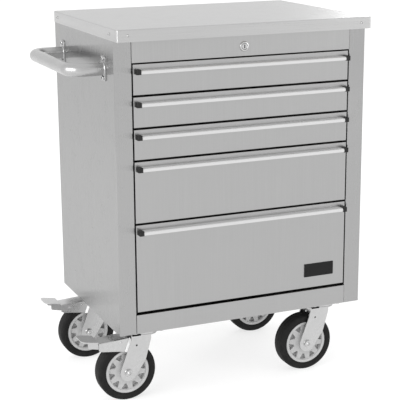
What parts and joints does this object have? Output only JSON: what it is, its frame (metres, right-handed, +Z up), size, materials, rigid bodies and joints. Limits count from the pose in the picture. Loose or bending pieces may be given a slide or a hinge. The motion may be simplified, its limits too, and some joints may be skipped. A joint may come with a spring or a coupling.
{
  "type": "rolling tool chest",
  "caption": "Stainless steel tool chest on castors, with full-width drawers, a lockable top rail, a worktop and a push handle on its side.",
  "frame": {"origin": "on the floor, at the middle of the whole chest's footprint box, handle and worktop included", "axes": "+Z up, +Y from the front to the back, +X to the right as seen from the front"},
  "size_m": [0.77, 0.506, 0.9397],
  "materials": {
    "body_steel": "satin brushed sheet",
    "worktop_steel": "fine brushed stainless sheet",
    "zinc_steel": "zinc plated",
    "polished_steel": "polished",
    "aluminium": "satin anodised",
    "black_plastic": "matt black",
    "hub_plastic": "matt light grey",
    "tyre_rubber": "matt black",
    "board": "raw board",
    "badge": "black, blank"
  },
  "bodies": {
    "cabinet": {"left_side_panel": "body_steel", "right_side_panel": "body_steel", "back_panel": "body_steel", "bottom_pan": "body_steel", "top_rail": "body_steel", "bottom_rail": "body_steel", "slide_uprights": "zinc_steel", "slide_channels": "zinc_steel", "worktop_skin": "worktop_steel", "worktop_core": "board", "push_handle": "polished_steel", "lock_housing": "polished_steel", "lock_bar_guides": "zinc_steel", "castor_top_plates": "zinc_steel", "fasteners": "zinc_steel"},
    "drawer_1": {"drawer_1_tray": "zinc_steel", "drawer_1_front": "body_steel", "drawer_1_pull": "aluminium", "drawer_1_end_caps": "black_plastic", "drawer_1_slide_members": "zinc_steel"},
    "drawer_2": {"drawer_2_tray": "zinc_steel", "drawer_2_front": "body_steel", "drawer_2_pull": "aluminium", "drawer_2_end_caps": "black_plastic", "drawer_2_slide_members": "zinc_steel"},
    "drawer_3": {"drawer_3_tray": "zinc_steel", "drawer_3_front": "body_steel", "drawer_3_pull": "aluminium", "drawer_3_end_caps": "black_plastic", "drawer_3_slide_members": "zinc_steel"},
    "drawer_4": {"drawer_4_tray": "zinc_steel", "drawer_4_front": "body_steel", "drawer_4_pull": "aluminium", "drawer_4_end_caps": "black_plastic", "drawer_4_slide_members": "zinc_steel"},
    "drawer_5": {"drawer_5_tray": "zinc_steel", "drawer_5_front": "body_steel", "drawer_5_pull": "aluminium", "drawer_5_end_caps": "black_plastic", "drawer_5_slide_members": "zinc_steel", "badge_plate": "badge"},
    "front_left_castor": {"front_left_fork": "zinc_steel", "front_left_brake_hood": "zinc_steel"},
    "front_left_wheel": {"front_left_hub": "hub_plastic", "front_left_tyre": "tyre_rubber"},
    "front_left_pedal": {"front_left_brake_pedal": "zinc_steel"},
    "rear_left_castor": {"rear_left_fork": "zinc_steel", "rear_left_brake_hood": "zinc_steel"},
    "rear_left_wheel": {"rear_left_hub": "hub_plastic", "rear_left_tyre": "tyre_rubber"},
    "rear_left_pedal": {"rear_left_brake_pedal": "zinc_steel"},
    "front_right_castor": {"front_right_fork": "zinc_steel"},
    "front_right_wheel": {"front_right_hub": "hub_plastic", "front_right_tyre": "tyre_rubber"},
    "rear_right_castor": {"rear_right_fork": "zinc_steel"},
    "rear_right_wheel": {"rear_right_hub": "hub_plastic", "rear_right_tyre": "tyre_rubber"},
    "lock": {"lock_cylinder": "polished_steel", "lock_rod": "zinc_steel"},
    "lock_bar": {"lock_bar": "zinc_steel"}
  },
  "joints": [
    {"name": "drawer_1_slide", "type": "slide", "parent": "cabinet", "child": "drawer_1", "axis": [0, -1, 0], "range_m": [0, 0.3]},
    {"name": "drawer_2_slide", "type": "slide", "parent": "cabinet", "child": "drawer_2", "axis": [0, -1, 0], "range_m": [0, 0.3]},
    {"name": "drawer_3_slide", "type": "slide", "parent": "cabinet", "child": "drawer_3", "axis": [0, -1, 0], "range_m": [0, 0.3]},
    {"name": "drawer_4_slide", "type": "slide", "parent": "cabinet", "child": "drawer_4", "axis": [0, -1, 0], "range_m": [0, 0.3]},
    {"name": "drawer_5_slide", "type": "slide", "parent": "cabinet", "child": "drawer_5", "axis": [0, -1, 0], "range_m": [0, 0.3]},
    {"name": "front_left_swivel", "type": "hinge", "parent": "cabinet", "child": "front_left_castor", "pos_m": [-0.204, -0.1652, 0.174], "axis": [0, 0, 1], "continuous": true},
    {"name": "front_left_roll", "type": "hinge", "parent": "front_left_castor", "child": "front_left_wheel", "pos_m": [-0.256, -0.1652, 0.076], "axis": [0, 1, 0], "continuous": true},
    {"name": "front_left_brake", "type": "hinge", "parent": "front_left_castor", "child": "front_left_pedal", "pos_m": [-0.308, -0.1652, 0.1543], "axis": [0, -1, 0], "range_deg": [0, 18]},
    {"name": "rear_left_swivel", "type": "hinge", "parent": "cabinet", "child": "rear_left_castor", "pos_m": [-0.204, 0.1533, 0.174], "axis": [0, 0, 1], "continuous": true},
    {"name": "rear_left_roll", "type": "hinge", "parent": "rear_left_castor", "child": "rear_left_wheel", "pos_m": [-0.256, 0.1533, 0.076], "axis": [0, 1, 0], "continuous": true},
    {"name": "rear_left_brake", "type": "hinge", "parent": "rear_left_castor", "child": "rear_left_pedal", "pos_m": [-0.308, 0.1533, 0.1543], "axis": [0, -1, 0], "range_deg": [0, 18]},
    {"name": "front_right_swivel", "type": "hinge", "parent": "cabinet", "child": "front_right_castor", "pos_m": [0.3, -0.1652, 0.174], "axis": [0, 0, 1], "continuous": true},
    {"name": "front_right_roll", "type": "hinge", "parent": "front_right_castor", "child": "front_right_wheel", "pos_m": [0.248, -0.1652, 0.076], "axis": [0, 1, 0], "continuous": true},
    {"name": "rear_right_swivel", "type": "hinge", "parent": "cabinet", "child": "rear_right_castor", "pos_m": [0.3, 0.1533, 0.174], "axis": [0, 0, 1], "continuous": true},
    {"name": "rear_right_roll", "type": "hinge", "parent": "rear_right_castor", "child": "rear_right_wheel", "pos_m": [0.248, 0.1533, 0.076], "axis": [0, 1, 0], "continuous": true},
    {"name": "lock_turn", "type": "hinge", "parent": "cabinet", "child": "lock", "pos_m": [0.048, -0.2224, 0.881], "axis": [0, 1, 0], "range_deg": [0, 90]},
    {"name": "lock_bar_drop", "type": "slide", "parent": "cabinet", "child": "lock_bar", "axis": [0, 0, -1], "range_m": [0, 0.012]}
  ],
  "couplings": [
    {"joint": "lock_turn", "follows": "lock_bar_drop", "rad_per_m": 130.9}
  ]
}
